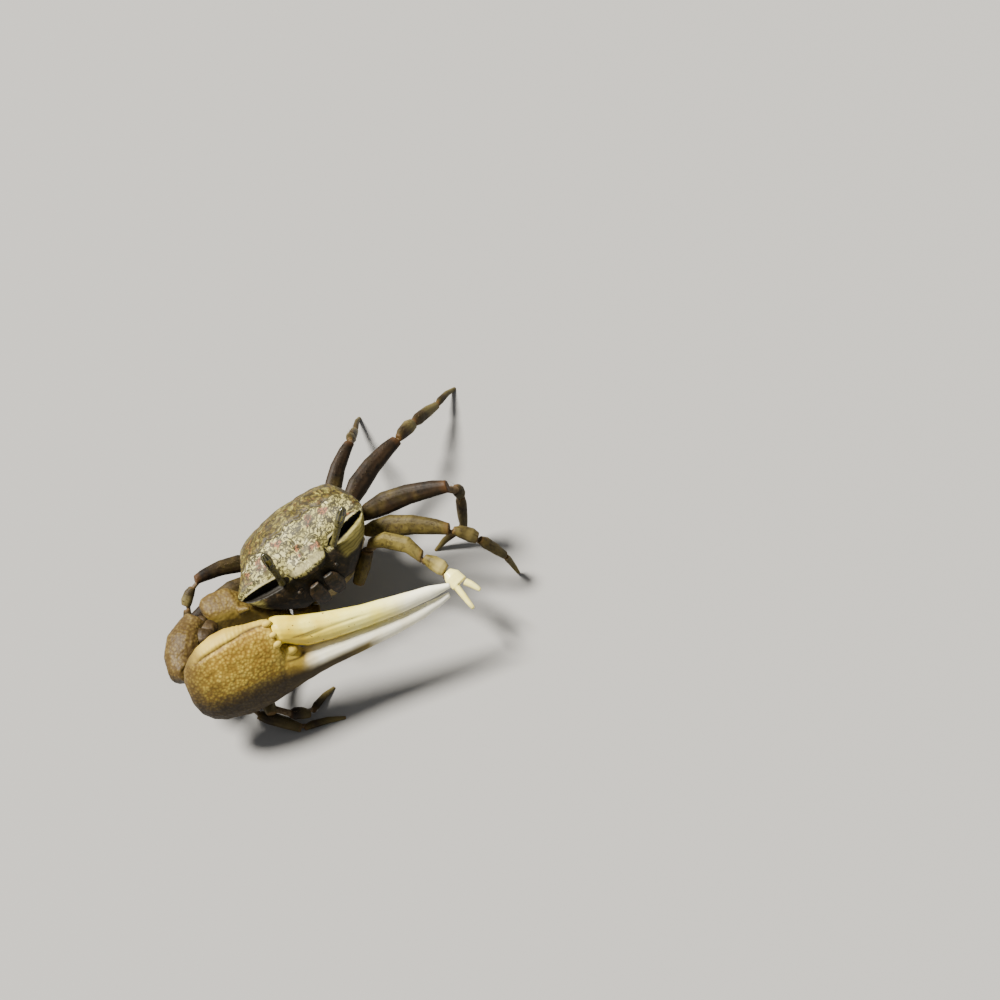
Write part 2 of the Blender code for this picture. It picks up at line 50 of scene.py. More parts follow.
# The same pose values as in the part's source
BODY_PITCH = 18.5
BODY_ROLL = 13.5
CORNER_HEIGHT = 14.5
SHIELD_REAR = 11.594            # from the corners' line back to the rear edge
SHIELD_DEPTH = 6.6
CLAW_HEEL = Vector((-20.6, -7.0, 11.5))
CLAW_HEADING = -13.4
CLAW_RISE = 3.2
CLAW_LEAN = 27.0

# Camera: where it looks, from where, and how it is held
CAMERA_TARGET = Vector((27.7, 0.5, 0.0))
CAMERA_AZIMUTH = -17.1
CAMERA_ELEVATION = 57.0
CAMERA_ROLL = 16.0
CAMERA_DISTANCE = 461.8
CAMERA_LENS = 126.0             # on a 36 mm sensor

# Studio
FLOOR_SIZE = 1.5                # metres, half of its width
FLOOR_COLOR = (0.27, 0.266, 0.258, 1)
WORLD_COLOR = (0.96, 0.97, 1.0, 1)
WORLD_STRENGTH = 0.32
SUN_STRENGTH = 13.0
SUN_ANGLE = 16.0
SUN_COLOR = (1.0, 0.96, 0.88)
SUN_PLACE = Vector((-0.32, 0.36, 0.88))

SIDES = {"right": -1, "left": 1}
ARTICLES = ("merus", "carpus", "propodus", "dactyl")

# Voxel size and rounds of smoothing of each kind of piece
FINENESS = {
    "carapace": (0.12, 8),
    "sternum": (0.16, 6),
    "abdomen": (0.14, 5),
    "maxilliped": (0.11, 3),
    "antenna": (0.07, 3),
    "eyestalk": (0.07, 4),
    "eye": (0.06, 5),
    "great_palm": (0.13, 16),
    "great_dactyl": (0.12, 14),
    "great_arm": (0.12, 12),
    "limb": (0.11, 12),
    "small_hand": (0.09, 3),
}
WELD_DISTANCE = 0.00001         # metres
# One round of smoothing is a step in and a slightly longer step out
SMOOTHING = (0.55, -0.57)
STRONG_SMOOTHING = (0.60, -0.606)

# An orbit in the body's frame, x counted outwards: the ends of its axis, its radius at
# shares of the axis, and how its section is stretched
ORBIT_INNER = (3.65, -1.8, -0.95)
ORBIT_OUTER = (9.4, -0.60, -0.45)
ORBIT_SHARES = (0, 0.12, 0.5, 0.85, 1)
ORBIT_RADII = (0.60, 1.10, 1.15, 0.80, 0.35)
ORBIT_SECTION = (1, 1.2, 0.6)

# Along the great claw: where the palm ends, and where the gape's teeth begin
PALM_END = 12.3
GAPE_START = 15.5
GAPE_LENGTH = 18.0

# How far skins reach into the pieces that they join, and the fill of the gap
SKIN_REACH = 0.35
JOINT_FULLNESS = 0.85
COLLAR_FULLNESS = 1.15

# Bristles: a bristle whose tip would come nearer the floor than the clearance is left out
BRISTLE_RADIUS = 0.028
BRISTLE_LENGTHS = (0.35, 0.8)
FLOOR_CLEARANCE = 0.1
MERUS_BRISTLES = 46
OTHER_BRISTLES = 22
PATCH_SIZE = 0.003              # of a bristle on the map
TILE_COLUMNS = 6                # of articles on the map


# ---------------------------------------------------------------- frames of reference

TILT = (
    Matrix.Rotation(math.radians(-BODY_ROLL), 3, "Y")
    @ Matrix.Rotation(math.radians(-BODY_PITCH), 3, "X")
)


def node_points(node):
    """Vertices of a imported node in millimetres."""
    mesh = NODES[node].data
    flat = np.empty(len(mesh.vertices) * 3)
    mesh.vertices.foreach_get("co", flat)
    return flat.reshape(-1, 3) / MM


def find_body_origin():
    """Midway between the carapace's front corners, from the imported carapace's extents."""
    local = node_points("carapace") @ np.array(TILT)
    low, high = local.min(0), local.max(0)
    return TILT @ Vector(((low[0] + high[0]) / 2, high[1] - SHIELD_REAR, low[2] + SHIELD_DEPTH))


BODY_ORIGIN = find_body_origin()
SHIFT = BODY_ORIGIN - Vector((0, 0, CORNER_HEIGHT))


def to_body(points):
    """World points in millimetres, as seen in the body's frame."""
    return (points - np.array(BODY_ORIGIN)) @ np.array(TILT)


def from_body(x, y, z):
    return BODY_ORIGIN + TILT @ Vector((x, y, z))


def direction(heading, rise):
    h, r = math.radians(heading), math.radians(rise)
    return Vector((math.cos(h) * math.cos(r), math.sin(h) * math.cos(r), math.sin(r)))


def claw_axes():
    along = direction(CLAW_HEADING, CLAW_RISE)
    side = along.cross(Vector((0, 0, 1))).normalized()
    upright = side.cross(along).normalized()
    lean = math.radians(CLAW_LEAN)
    upward = (upright * math.cos(lean) - side * math.sin(lean)).normalized()
    outward = along.cross(upward)
    if outward.y > 0:
        outward = -outward
    return Matrix((along, upward, outward))


CLAW = claw_axes()


def to_claw(points):
    """World points as (along the fingers, up the claw's height, out of its broad face)."""
    return (points - np.array(CLAW_HEEL + SHIFT)) @ np.array(CLAW).T


def from_claw(s, p, n):
    return CLAW_HEEL + SHIFT + CLAW.transposed() @ Vector((s, p, n))


# ---------------------------------------------------------------- numbers over many points

def smoothstep(low, high, values):
    t = np.clip((values - low) / (high - low), 0, 1)
    return t * t * (3 - 2 * t)


def bell(values, width):
    return np.exp(-(values / width) ** 2)


def lattice(ix, iy, iz, seed):
    """Repeatable value 0..1 for each lattice cell."""
    wave = np.sin(ix * 127.1 + iy * 311.7 + iz * 74.7 + seed * 53.3) * 43758.5453
    return wave - np.floor(wave)


def value_noise(points, seed):
    """Smooth noise 0..1 with features about one unit across."""
    cell = np.floor(points)
    part = points - cell
    part = part * part * (3 - 2 * part)
    total = np.zeros(len(points))
    for dx in (0, 1):
        for dy in (0, 1):
            for dz in (0, 1):
                weight = (
                    (part[:, 0] if dx else 1 - part[:, 0])
                    * (part[:, 1] if dy else 1 - part[:, 1])
                    * (part[:, 2] if dz else 1 - part[:, 2])
                )
                total += weight * lattice(cell[:, 0] + dx, cell[:, 1] + dy, cell[:, 2] + dz, seed)
    return total


def fractal(points, octaves=3, seed=0):
    total, weight, norm = np.zeros(len(points)), 1.0, 0.0
    for octave in range(octaves):
        total += weight * value_noise(points * 2 ** octave, seed + octave)
        norm += weight
        weight *= 0.5
    return total / norm


def grains(points, spacing, seed=0):
    """Round grains: 1 at each grain's middle, falling to 0 a spacing away."""
    scaled = points / spacing
    cell = np.floor(scaled)
    nearest = np.full(len(points), 9.0)
    for dx in (-1, 0, 1):
        for dy in (-1, 0, 1):
            for dz in (-1, 0, 1):
                corner = cell + (dx, dy, dz)
                x, y, z = corner[:, 0], corner[:, 1], corner[:, 2]
                offset = np.stack([lattice(x, y, z, seed + k) for k in (1, 2, 3)], 1)
                away = np.linalg.norm(scaled - corner - offset, axis=1)
                nearest = np.minimum(nearest, away)
    return np.clip(1 - nearest, 0, 1)


# ---------------------------------------------------------------- growing the shell pieces

def taubin(points, edges, rounds, steps):
    """Smooths without shrinking: each round is one step in and one step out."""
    count = len(points)
    degree = np.bincount(edges.ravel(), minlength=count)[:, None].clip(1)
    for _ in range(rounds):
        for step in steps:
            total = np.empty_like(points)
            for axis in range(3):
                total[:, axis] = (
                    np.bincount(edges[:, 0], points[edges[:, 1], axis], count)
                    + np.bincount(edges[:, 1], points[edges[:, 0], axis], count)
                )
            points = points + step * (total / degree - points)
    return points


def mesh_points(mesh):
    flat = np.empty(len(mesh.vertices) * 3)
    mesh.vertices.foreach_get("co", flat)
    return flat.reshape(-1, 3) / MM


def set_points(mesh, points):
    mesh.vertices.foreach_set("co", (points * MM).ravel())
    mesh.update()


def mesh_normals(mesh):
    flat = np.empty(len(mesh.vertices) * 3)
    mesh.vertex_normals.foreach_get("vector", flat)
    return flat.reshape(-1, 3)


def grow(node, kind, relief=None, rounder=0):
    """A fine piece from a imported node; relief gives each point's rise along its normal,
    and rounder is how many more rounds melt the flats of a broad article."""
    voxel, rounds = FINENESS[kind]
    base = bpy.data.objects.new(node + "_base", NODES[node].data.copy())
    bpy.context.scene.collection.objects.link(base)
    weld = base.modifiers.new("weld", "WELD")
    weld.merge_threshold = WELD_DISTANCE
    remesh = base.modifiers.new("remesh", "REMESH")
    remesh.mode = "VOXEL"
    remesh.voxel_size = voxel * MM
    evaluated = base.evaluated_get(bpy.context.evaluated_depsgraph_get())
    mesh = bpy.data.meshes.new_from_object(evaluated)
    bpy.data.objects.remove(base)
    mesh.name = node + "_surface"
    mesh.materials.clear()
    edges = np.empty(len(mesh.edges) * 2, dtype=int)
    mesh.edges.foreach_get("vertices", edges)
    edges = edges.reshape(-1, 2)
    points = taubin(mesh_points(mesh), edges, rounds, SMOOTHING)
    points = taubin(points, edges, rounder, STRONG_SMOOTHING)
    set_points(mesh, points)
    if relief is not None:
        set_points(mesh, points + mesh_normals(mesh) * relief(points)[:, None])
    piece = bpy.data.objects.new(node + "_surface", mesh)
    bpy.context.scene.collection.objects.link(piece)
    mesh.shade_smooth()
    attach(piece, "root")
    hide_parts(node)
    SURFACES[node] = piece
    return piece


def paint(piece, name, values):
    """Stores a zone, one value for all or one for each point, for the material to read."""
    layer = piece.data.attributes.new(name, "FLOAT", "POINT")
    shares = np.empty(len(piece.data.vertices), dtype=np.float32)
    shares[:] = values
    layer.data.foreach_set("value", shares)


def dress(piece, material):
    piece.data.materials.clear()
    piece.data.materials.append(material)


# ---------------------------------------------------------------- materials

class Shade:
    """Builds one material's nodes; sizes of textures are in millimetres."""

    def __init__(self, name, roughness, specular=0.45):
        self.material = bpy.data.materials.new(name)
        self.material.use_nodes = True
        self.nodes = self.material.node_tree.nodes
        self.links = self.material.node_tree.links
        self.shader = self.nodes["Principled BSDF"]
        self.shader.inputs["Roughness"].default_value = roughness
        self.shader.inputs["Specular IOR Level"].default_value = specular
        coordinates = self.nodes.new("ShaderNodeTexCoord")
        scale = self.nodes.new("ShaderNodeVectorMath")
        scale.operation = "SCALE"
        scale.inputs["Scale"].default_value = 1 / MM
        self.links.new(coordinates.outputs["Object"], scale.inputs[0])
        self.place = scale.outputs[0]

    def noise(self, size, detail=4.0, rough=0.55, distortion=0.0):
        node = self.nodes.new("ShaderNodeTexNoise")
        node.inputs["Scale"].default_value = 1 / size
        node.inputs["Detail"].default_value = detail
        node.inputs["Roughness"].default_value = rough
        node.inputs["Distortion"].default_value = distortion
        self.links.new(self.place, node.inputs["Vector"])
        return node.outputs["Fac"]

    def cells(self, size):
        node = self.nodes.new("ShaderNodeTexVoronoi")
        node.inputs["Scale"].default_value = 1 / size
        self.links.new(self.place, node.inputs["Vector"])
        return node.outputs["Distance"]

    def zone(self, name):
        node = self.nodes.new("ShaderNodeAttribute")
        node.attribute_name = name
        return node.outputs["Fac"]

    def ramp(self, factor, *stops):
        """Colour by factor; a stop is (place, colour)."""
        node = self.nodes.new("ShaderNodeValToRGB")
        elements = node.color_ramp.elements
        while len(elements) < len(stops):
            elements.new(0.5)
        for element, (place, color) in zip(elements, stops):
            element.position = place
            element.color = (*color, 1.0)
        self.links.new(factor, node.inputs["Fac"])
        return node.outputs["Color"]

    def mask(self, factor, low, high):
        node = self.nodes.new("ShaderNodeMapRange")
        node.interpolation_type = "SMOOTHSTEP"
        node.inputs["From Min"].default_value = low
        node.inputs["From Max"].default_value = high
        self.links.new(factor, node.inputs["Value"])
        return node.outputs["Result"]

    def math(self, operation, first, second):
        node = self.nodes.new("ShaderNodeMath")
        node.operation = operation
        for socket, value in zip(node.inputs, (first, second)):
            if isinstance(value, (int, float)):
                socket.default_value = value
            else:
                self.links.new(value, socket)
        return node.outputs[0]

    def mix(self, factor, first, second, blend="MIX"):
        node = self.nodes.new("ShaderNodeMix")
        node.data_type = "RGBA"
        node.blend_type = blend
        sockets = (node.inputs[0], node.inputs[6], node.inputs[7])
        for socket, value in zip(sockets, (factor, first, second)):
            if isinstance(value, (int, float)):
                socket.default_value = value
            elif isinstance(value, tuple):
                socket.default_value = (*value, 1.0)
            else:
                self.links.new(value, socket)
        return node.outputs[2]

    def color(self, socket):
        self.links.new(socket, self.shader.inputs["Base Color"])

    def rough(self, factor, low, high):
        node = self.nodes.new("ShaderNodeMapRange")
        node.inputs["To Min"].default_value = low
        node.inputs["To Max"].default_value = high
        self.links.new(factor, node.inputs["Value"])
        self.links.new(node.outputs["Result"], self.shader.inputs["Roughness"])

    def bumps(self, *layers):
        """Stacks bumps; a layer is (height socket, strength, depth in millimetres)."""
        normal = None
        for height, strength, depth in layers:
            node = self.nodes.new("ShaderNodeBump")
            node.inputs["Strength"].default_value = strength
            node.inputs["Distance"].default_value = depth * MM
            self.links.new(height, node.inputs["Height"])
            if normal is not None:
                self.links.new(normal, node.inputs["Normal"])
            normal = node.outputs["Normal"]
        self.links.new(normal, self.shader.inputs["Normal"])


def carapace_material():
    """Pale shell under a net of thin dark lines and red-brown patches, with an olive
    border streaked in black, a face whose own dark brown is deepened to nearly black
    as painted shade, and orbits darkened with painted shade."""
    m = Shade("marbled_shell", 0.6, 0.25)
    worms = m.noise(0.66, 3, 0.55, 0.8)
    ground = m.ramp(
        m.noise(1.9, 4, 0.6),
        (0.36, (0.230, 0.205, 0.060)),
        (0.52, (0.350, 0.315, 0.115)),
        (0.68, (0.560, 0.530, 0.300)),
    )
    band = m.math("ABSOLUTE", m.math("SUBTRACT", worms, 0.50), 0.0)
    line = m.mask(band, 0.088, 0.050)
    density = m.mask(m.noise(1.5, 2), 0.36, 0.56)
    line = m.math("MULTIPLY", line, m.math("ADD", 0.82, m.math("MULTIPLY", density, 0.16)))
    ground = m.mix(m.math("MULTIPLY", m.zone("patch"), 0.90), ground, (0.190, 0.055, 0.022))
    marbling = m.mix(line, ground, (0.026, 0.021, 0.006))
    olive = m.ramp(
        m.noise(1.2, 5, 0.6, 0.8),
        (0.36, (0.030, 0.022, 0.004)),
        (0.50, (0.110, 0.084, 0.013)),
        (0.64, (0.250, 0.220, 0.052)),
    )
    tint = m.mask(m.noise(0.8, 3), 0.54, 0.62)
    olive = m.mix(m.math("MULTIPLY", tint, 0.4), olive, (0.150, 0.055, 0.012))
    streak = m.math("MULTIPLY", m.mask(m.zone("streak"), 0.40, 0.80), 0.85)
    marks = m.math("MAXIMUM", streak, m.math("MULTIPLY", line, 0.6))
    border = m.mix(marks, olive, (0.014, 0.009, 0.002))
    color = m.mix(m.zone("border"), marbling, border)
    color = m.mix(m.zone("groove"), color, (0.014, 0.009, 0.003))
    # painted shade: the face under the front margin and the lower flanks, dark brown of their own, are
    # painted nearly black where shade falls
    face = m.ramp(
        m.noise(0.8, 5, 0.6, 0.8),
        (0.40, (0.005, 0.004, 0.002)),
        (0.58, (0.018, 0.012, 0.006)),
        (0.72, (0.070, 0.045, 0.018)),
    )
    color = m.mix(m.zone("dark_face_and_shade"), color, face)
    cheek = m.mix(m.math("MULTIPLY", streak, 0.6), (0.250, 0.215, 0.062), (0.045, 0.034, 0.008))
    color = m.mix(m.zone("cheek"), color, cheek)
    color = m.mix(m.zone("pale"), color, (0.500, 0.455, 0.250))
    # painted shade filling the orbits' hollows, near black
    color = m.mix(m.zone("painted_orbit_shade"), color, (0.007, 0.005, 0.002))
    m.color(color)
    m.rough(worms, 0.62, 0.50)
    m.bumps((m.cells(0.28), 0.35, 0.03), (m.noise(0.6, 4), 0.3, 0.05), (band, 0.35, 0.04))
    return m.material


def great_claw_material():
    """Ochre shell with fine granules, brown inner faces, an ivory finger, a lower edge
    and undersides darkened with painted shade over their own darker brown, and paler
    upper parts with painted highlight."""
    m = Shade("granular_ochre_shell", 0.6, 0.3)
    tone = m.noise(3.0, 5, 0.6, 0.4)
    ochre = m.ramp(
        tone,
        (0.30, (0.310, 0.195, 0.022)),
        (0.50, (0.450, 0.318, 0.040)),
        (0.68, (0.560, 0.430, 0.080)),
    )
    grain = m.cells(0.42)
    # painted highlight mixed with the paler ochre of the hinge knobs and upper margin
    color = m.mix(m.zone("pale_and_highlight"), ochre, (0.590, 0.440, 0.075))
    brown = m.ramp(tone, (0.35, (0.048, 0.029, 0.006)), (0.65, (0.088, 0.056, 0.013)))
    color = m.mix(m.zone("inner"), color, brown)
    # painted shade: the low zone darkens lower parts and undersides nearly to black
    shade = m.ramp(tone, (0.35, (0.014, 0.008, 0.002)), (0.65, (0.032, 0.018, 0.005)))
    color = m.mix(m.zone("low"), color, shade)
    pits = m.ramp(grain, (0.22, (1.0, 1.0, 1.0)), (0.62, (0.46, 0.37, 0.25)))
    color = m.mix(m.zone("granule"), color, pits, "MULTIPLY")
    ivory = m.ramp(
        m.noise(2.2, 4, 0.5, 0.2),
        (0.35, (0.880, 0.830, 0.600)),
        (0.65, (0.930, 0.910, 0.760)),
    )
    color = m.mix(m.zone("ivory"), color, ivory)
    # dark crease line, and the painted shadow under the hinge lobe
    color = m.mix(m.zone("line"), color, (0.030, 0.013, 0.003))
    m.color(color)
    m.rough(tone, 0.66, 0.54)
    rise = m.math("MULTIPLY", m.math("SUBTRACT", 1.0, grain), m.zone("granule"))
    m.bumps((rise, 0.75, 0.09), (m.noise(0.9, 4), 0.22, 0.05))
    return m.material


def ivory_material():
    """Polished finger: yellow at its root, cream, then white at the tip."""
    m = Shade("ivory_shell", 0.30)
    cloud = m.noise(2.4, 4, 0.5, 0.3)
    pale = m.ramp(cloud, (0.35, (0.930, 0.900, 0.660)), (0.65, (0.950, 0.935, 0.800)))
    cream = m.ramp(cloud, (0.35, (0.880, 0.750, 0.110)), (0.65, (0.920, 0.840, 0.230)))
    root = m.ramp(cloud, (0.35, (0.660, 0.450, 0.015)), (0.65, (0.820, 0.620, 0.040)))
    color = m.mix(m.zone("cream"), pale, cream)
    color = m.mix(m.zone("root"), color, root)
    fleck = m.mask(m.noise(0.55, 2, 0.4), 0.68, 0.74)
    color = m.mix(m.math("MULTIPLY", fleck, m.zone("fleck")), color, (0.180, 0.095, 0.020))
    color = m.mix(m.zone("line"), color, (0.110, 0.050, 0.010))
    m.color(color)
    m.rough(cloud, 0.36, 0.24)
    m.bumps((m.noise(0.5, 5, 0.6), 0.12, 0.03), (m.cells(0.5), 0.08, 0.03))
    return m.material


def limb_material():
    """Legs: olive-yellow to dark brown by the zone called dark, banded near the joints."""
    m = Shade("limb_shell", 0.6, 0.2)
    tone = m.noise(1.6, 5, 0.6, 0.8)
    light = m.ramp(tone, (0.34, (0.068, 0.050, 0.009)), (0.64, (0.155, 0.120, 0.026)))
    dark = m.ramp(tone, (0.34, (0.005, 0.003, 0.001)), (0.64, (0.024, 0.013, 0.005)))
    color = m.mix(m.zone("dark"), light, dark)
    blotch = m.mask(m.noise(0.75, 4, 0.6, 1.2), 0.52, 0.60)
    color = m.mix(m.math("MULTIPLY", blotch, 0.60), color, (0.020, 0.011, 0.004))
    color = m.mix(m.zone("pale"), color, (0.400, 0.330, 0.110))
    color = m.mix(m.math("MULTIPLY", m.zone("joint"), 0.35), color, (0.120, 0.052, 0.014))
    m.color(color)
    m.rough(tone, 0.68, 0.52)
    m.bumps((m.cells(0.22), 0.35, 0.025), (m.noise(0.5, 4), 0.3, 0.04))
    return m.material


def underside_material():
    """Plates of the underside; the zone called dark is the brown of the mouthparts, deepened to near black
    as painted shade.
    """
    m = Shade("underside_shell_plates", 0.5, 0.35)
    tone = m.noise(1.2, 5, 0.6, 0.8)
    color = m.ramp(
        tone,
        (0.34, (0.120, 0.080, 0.025)),
        (0.50, (0.260, 0.200, 0.080)),
        (0.68, (0.430, 0.370, 0.200)),
    )
    mottle = m.noise(0.55, 4, 0.6, 0.6)
    # the mouthparts' own dark brown, deepened to near black as painted shade
    mouthparts_with_shade = m.ramp(mottle, (0.44, (0.004, 0.003, 0.001)), (0.70, (0.060, 0.036, 0.016)))
    m.color(m.mix(m.zone("dark"), color, mouthparts_with_shade))
    m.rough(tone, 0.58, 0.42)
    m.bumps((m.cells(0.25), 0.3, 0.025), (m.noise(0.6, 4), 0.3, 0.04))
    return m.material


def membrane_material():
    """Dull brown skin of the joints."""
    m = Shade("joint_skin", 0.6, 0.3)
    tone = m.noise(0.5, 4, 0.6)
    m.color(m.ramp(tone, (0.35, (0.045, 0.025, 0.009)), (0.65, (0.130, 0.085, 0.035))))
    m.bumps((m.noise(0.15, 3), 0.5, 0.04))
    return m.material


def eyestalk_material():
    """Smooth dark olive."""
    m = Shade("eyestalk_shell", 0.36, 0.4)
    tone = m.noise(0.5, 4, 0.6, 0.6)
    m.color(m.ramp(tone, (0.38, (0.022, 0.019, 0.005)), (0.62, (0.085, 0.074, 0.022))))
    m.bumps((m.noise(0.2, 3), 0.25, 0.02))
    return m.material


def eye_material():
    """Dark glossy cap with faint pale stripes along it and fine facets."""
    m = Shade("eye_cap", 0.18, 0.5)
    stripe = m.mask(m.zone("stripe"), 0.35, 0.85)
    m.color(m.mix(m.math("MULTIPLY", stripe, 0.6), (0.012, 0.011, 0.004), (0.110, 0.100, 0.040)))
    m.shader.inputs["Coat Weight"].default_value = 0.4
    m.shader.inputs["Coat Roughness"].default_value = 0.10
    m.bumps((m.cells(0.06), 0.2, 0.008))
    return m.material


def hair_material():
    """Dark brown, paler in places."""
    m = Shade("bristle", 0.6, 0.3)
    m.color(m.ramp(m.noise(0.8, 2), (0.3, (0.022, 0.014, 0.006)), (0.7, (0.110, 0.075, 0.036))))
    return m.material


# ---------------------------------------------------------------- carapace and body

def cervical_groove(x):
    """y of the wavy groove that parts the pale front of the back from its border."""
    return 2.8 + 0.22 * np.sin(1.9 * x) + 0.10 * np.sin(4.3 * x)


def carapace_relief(points):
    """Grooves between the regions of the back, low swellings and fine unevenness."""
    local = to_body(points)
    x, y, z = local.T
    top = smoothstep(-1.6, -0.4, z)
    groove = bell(y - cervical_groove(x), 0.26) * smoothstep(7.6, 5.8, abs(x))
    long = bell(abs(x) - 2.5 - 0.12 * (y - 5), 0.30) * smoothstep(3.2, 4.2, y) * smoothstep(9.5, 7.5, y)
    front = bell(x, 0.28) * smoothstep(2.0, 0.6, y)
    swell = 0.16 * bell(x, 1.9) * bell(y - 6.3, 1.7)
    flank = 0.12 * bell(abs(x) - 5.4, 1.7) * bell(y - 5.5, 2.2)
    rise = swell + flank - 0.17 * groove - 0.14 * long - 0.12 * front
    uneven = 0.10 * (fractal(points * 0.9, 3) - 0.5)
    return top * (rise + uneven) + 0.03 * (fractal(points * 2.2, 2, 7) - 0.5)


def orbit_reach(local):
    """Distance of each point from the axis of the nearer orbit, in radii of the orbit, and
    how far back of the axis it lies."""
    reach = np.full(len(local), 9.0)
    back = np.zeros(len(local))
    for side in SIDES.values():
        inner = np.array(ORBIT_INNER) * (side, 1, 1)
        axis = np.array(ORBIT_OUTER) * (side, 1, 1) - inner
        t = np.clip((local - inner) @ axis / (axis @ axis), 0, 1)
        radius = np.interp(t, ORBIT_SHARES, ORBIT_RADII)
        offset = local - inner - t[:, None] * axis
        away = np.linalg.norm(offset / ORBIT_SECTION, axis=1) / radius
        back = np.where(away < reach, offset[:, 1], back)
        reach = np.minimum(reach, away)
    return reach, back


def scattered_patches(x, y, ripple):
    """Blotches on the front half of the back, evenly spaced across it with a seeded drift."""
    rng = random.Random(5)
    count = 9
    patch = np.zeros(len(x))
    for i in range(count):
        middle_x = 17.0 * ((i + 0.5) / count - 0.5) + rng.uniform(-0.6, 0.6)
        middle_y = 0.4 + rng.uniform(-1.5, 1.5)
        radius = rng.uniform(0.6, 0.9)
        away = np.hypot(x - middle_x, y - middle_y) + 2.0 * ripple
        patch = np.maximum(patch, smoothstep(radius, 0.45 * radius, away))
    return patch


def build_carapace(material):
    """The back with its border, groove and patches, the orbits, the cheeks and the face."""
    piece = grow("carapace", "carapace", carapace_relief)
    points = mesh_points(piece.data)
    local = to_body(points)
    x, y, z = local.T
    normals = mesh_normals(piece.data) @ np.array(TILT)
    wobble = fractal(points * 0.8, 3, 3) - 0.5
    ripple = fractal(points * 1.6, 2, 23) - 0.5
    top = smoothstep(-0.1, 0.25, normals[:, 2])
    level = ((abs(x) / 9.9) ** 3 + (np.clip(y, 0, None) / 12.5) ** 3) ** (1 / 3)
    behind = smoothstep(-0.10, 0.20, y - cervical_groove(x) + 0.5 * ripple)
    side = smoothstep(0.80, 0.86, level + 0.12 * wobble - 0.008 * x) * smoothstep(-0.4, 0.4, y)
    border = np.maximum(behind, side) * smoothstep(-2.6, -1.8, z)
    paint(piece, "border", border)
    rings = np.sin(2 * np.pi * (level / 0.055 + 3.4 * wobble + 1.8 * ripple))
    stripes = 0.55 * np.sin(2 * np.pi * ((z + 0.25 * y) / 0.46 + 1.6 * wobble + 0.8 * ripple))
    low = smoothstep(-0.6, -1.0, z) * smoothstep(1.5, 0.5, y)
    paint(piece, "streak", 0.5 + 0.5 * (rings * (1 - low) + stripes * low))
    groove = bell(y - cervical_groove(x) + 0.3 * ripple, 0.17) * smoothstep(8.4, 7.4, abs(x)) * top
    inner_line = bell(level - 0.83 + 0.12 * wobble - 0.008 * x, 0.016) * smoothstep(0.2, 0.8, y) * top
    broken = smoothstep(0.30, 0.42, fractal(points * 0.9, 2, 11))
    paint(piece, "groove", 0.95 * np.maximum(groove, 0.7 * inner_line) * broken)
    paint(piece, "patch", scattered_patches(x, y, ripple) * top)
    orbit, back = orbit_reach(local)
    ahead = smoothstep(2.6, 1.2, y)
    cheek = smoothstep(3.9, 4.8, x) * smoothstep(-3.7, -3.1, z + wobble)
    corner = smoothstep(7.0, 8.2, abs(x) + wobble) * smoothstep(-4.2, -3.4, z)
    cheek = np.maximum(cheek, corner) * ahead
    # painted shade: this zone darkens the face under the front margin and the downward-facing lower flanks
    below = smoothstep(-1.15, -1.55, z + 0.3 * wobble)
    flank = smoothstep(0.10, -0.15, normals[:, 2]) * (1 - ahead)
    paint(piece, "dark_face_and_shade", np.maximum(below * ahead, 0.5 * flank * smoothstep(-2.8, -4.0, z + wobble)))
    paint(piece, "cheek", np.maximum(cheek * smoothstep(-0.55, -0.85, z), 0.7 * flank))
    rim = smoothstep(1.12, 1.22, orbit) * smoothstep(1.70, 1.45, orbit + 0.5 * wobble)
    rim *= smoothstep(0.0, 0.3, back) * smoothstep(3.6, 4.4, abs(x))
    brow = smoothstep(-1.7, -2.1, y + 0.6 * wobble) * smoothstep(-1.05, -0.75, z)
    brow *= smoothstep(3.4, 2.6, abs(x))
    paint(piece, "pale", np.maximum(0.9 * rim, 0.6 * brow))
    # painted shade inside each orbit, reaching lower in the right-hand orbit
    inside = smoothstep(1.20, 1.08, orbit)
    deep = np.where(x > 0, smoothstep(0.10, 0.35, back), smoothstep(-0.9, -0.6, back))
    paint(piece, "painted_orbit_shade", inside * deep)
    dress(piece, material)


def plate_relief(points):
    """Fine unevenness of the lower plates."""
    return 0.06 * (fractal(points * 1.4, 3, 5) - 0.5)


def sternum_relief(points):
    """Seams between the breast plates."""
    local = to_body(points)
    x, y, z = local.T
    seams = np.zeros(len(points))
    for place in (0.9, 3.2, 5.6, 8.0):
        seams = np.maximum(seams, bell(y - place - 0.10 * abs(x), 0.14))
    return -0.12 * seams * smoothstep(-7.6, -8.2, z) + plate_relief(points)


def abdomen_relief(points):
    """Rings of the folded tail."""
    local = to_body(points)
    run = local[:, 1] + 1.2 * local[:, 2]
    return -0.05 * bell(np.sin(run * 2.1), 0.25) + plate_relief(points)


# ---------------------------------------------------------------- great claw

def palm_crease(s):
    """p of the crease that runs under the beaded upper margin of the palm."""
    return 5.05 - 0.03 * (s - 9) ** 2


def crease_length(s):
    """1 along the crease, falling to 0 at its ends."""
    return smoothstep(1.8, 3.0, s) * smoothstep(PALM_END, PALM_END - 1, s)


def palm_relief(points):
    """Granules over the palm, a beaded crease under its upper edge and the hinge's swelling."""
    s, p, n = to_claw(points).T
    palm = smoothstep(14.5, 12.0, s)
    uneven = 0.10 * (fractal(points * 0.5, 2, 2) - 0.5)
    crease = p - palm_crease(s)
    length = crease_length(s)
    ridge = bell(crease, 0.20) * length * smoothstep(0.0, 0.6, n)
    beads = bell(crease - 0.45, 0.22) * length * (0.5 + 0.5 * np.sin(11.4 * s))
    fine = grains(points, 0.50) * palm * 0.03
    coarse = grains(points, 0.95, 9) * bell(p + 6.3, 1.0) * palm * 0.08
    socket = bell(s - 12.4, 0.5) * bell(p - 2.0, 2.0)
    return fine + coarse - 0.17 * ridge + 0.06 * beads + 0.12 * socket + uneven


